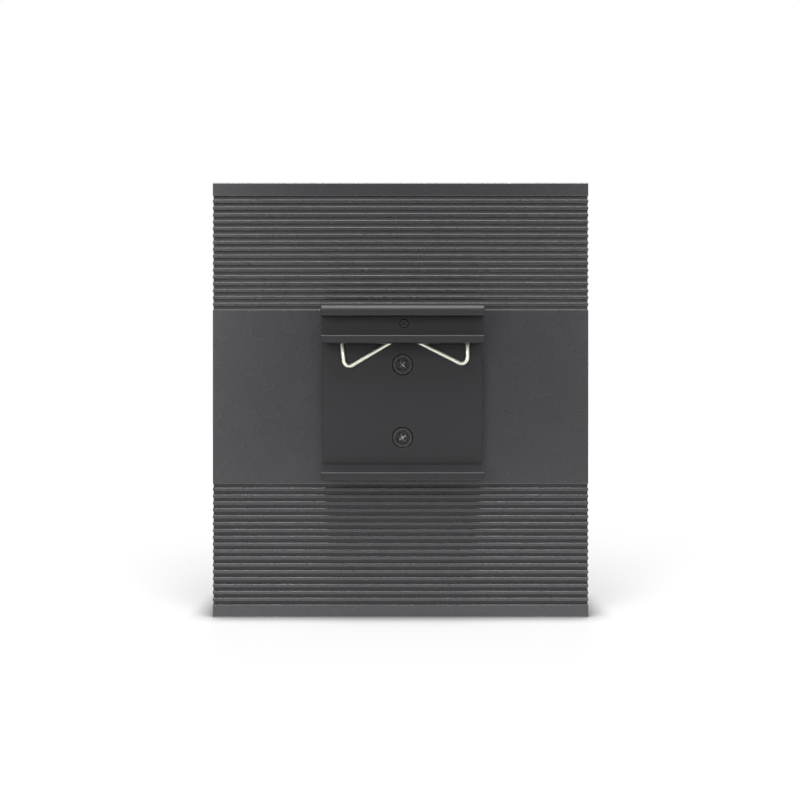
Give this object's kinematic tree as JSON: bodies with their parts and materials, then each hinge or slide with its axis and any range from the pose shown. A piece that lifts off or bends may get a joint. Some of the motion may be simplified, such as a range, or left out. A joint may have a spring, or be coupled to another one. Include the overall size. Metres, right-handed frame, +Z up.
{
  "type": "ethernet switch",
  "caption": "Rail-mounted ethernet switch with a finned aluminium back, a spring rail clip, a folded front cover, socket blocks and a power terminal.",
  "frame": {"origin": "middle of the footprint, on the surface that the switch stands on", "axes": "+Z up, -Y out of the rear where the rail clip is, +X to the right as the rear is seen"},
  "size_m": [0.095, 0.0428, 0.11],
  "materials": {
    "housing_aluminium": "dark grey textured coating",
    "cover_steel": "dark grey textured powder coat",
    "clip_aluminium": "black satin anodised",
    "spring_wire": "bright drawn wire",
    "black_steel": "black zinc",
    "zinc_steel": "zinc plated",
    "shield_steel": "tinned sheet",
    "socket_plastic": "moulded",
    "contact_gold": "gold plated",
    "guide_acrylic": "clear moulded",
    "lamp_resin": "diffused",
    "board_laminate": "green solder mask",
    "terminal_plastic": "green moulded",
    "chip_resin": "moulded",
    "pad_silicone": "soft pad",
    "capacitor_can": "drawn can",
    "ferrite": "pressed",
    "crystal_can": "plated can",
    "fuse_ceramic": "ceramic"
  },
  "bodies": {
    "root": {"rear_housing": "housing_aluminium", "front_cover": "cover_steel", "cover_screws": "black_steel", "din_clip": "clip_aluminium", "clip_spring": "spring_wire", "clip_pin": "black_steel", "clip_screw_upper": "black_steel", "clip_screw_lower": "black_steel", "main_board": "board_laminate", "board_standoffs": "zinc_steel", "board_screws": "zinc_steel", "jack_block_left": "socket_plastic", "jack_block_right": "socket_plastic", "jack_shield_left": "shield_steel", "jack_shield_right": "shield_steel", "jack_contacts_left": "contact_gold", "jack_contacts_right": "contact_gold", "light_bar_left": "guide_acrylic", "light_bar_right": "guide_acrylic", "status_light_bar": "guide_acrylic", "port_leds": "lamp_resin", "status_leds": "lamp_resin", "terminal_header": "terminal_plastic", "terminal_plug": "terminal_plastic", "terminal_screws": "zinc_steel", "terminal_cages": "zinc_steel", "terminal_pins": "zinc_steel", "ground_screw": "zinc_steel", "ground_washer": "zinc_steel", "ground_nut": "zinc_steel", "switch_chip": "chip_resin", "thermal_pad": "pad_silicone", "line_transformers": "chip_resin", "power_inductor": "ferrite", "input_capacitors": "capacitor_can", "converter_chip": "chip_resin", "clock_crystal": "crystal_can", "flash_chip": "chip_resin", "input_fuse": "fuse_ceramic"}
  },
  "joints": []
}
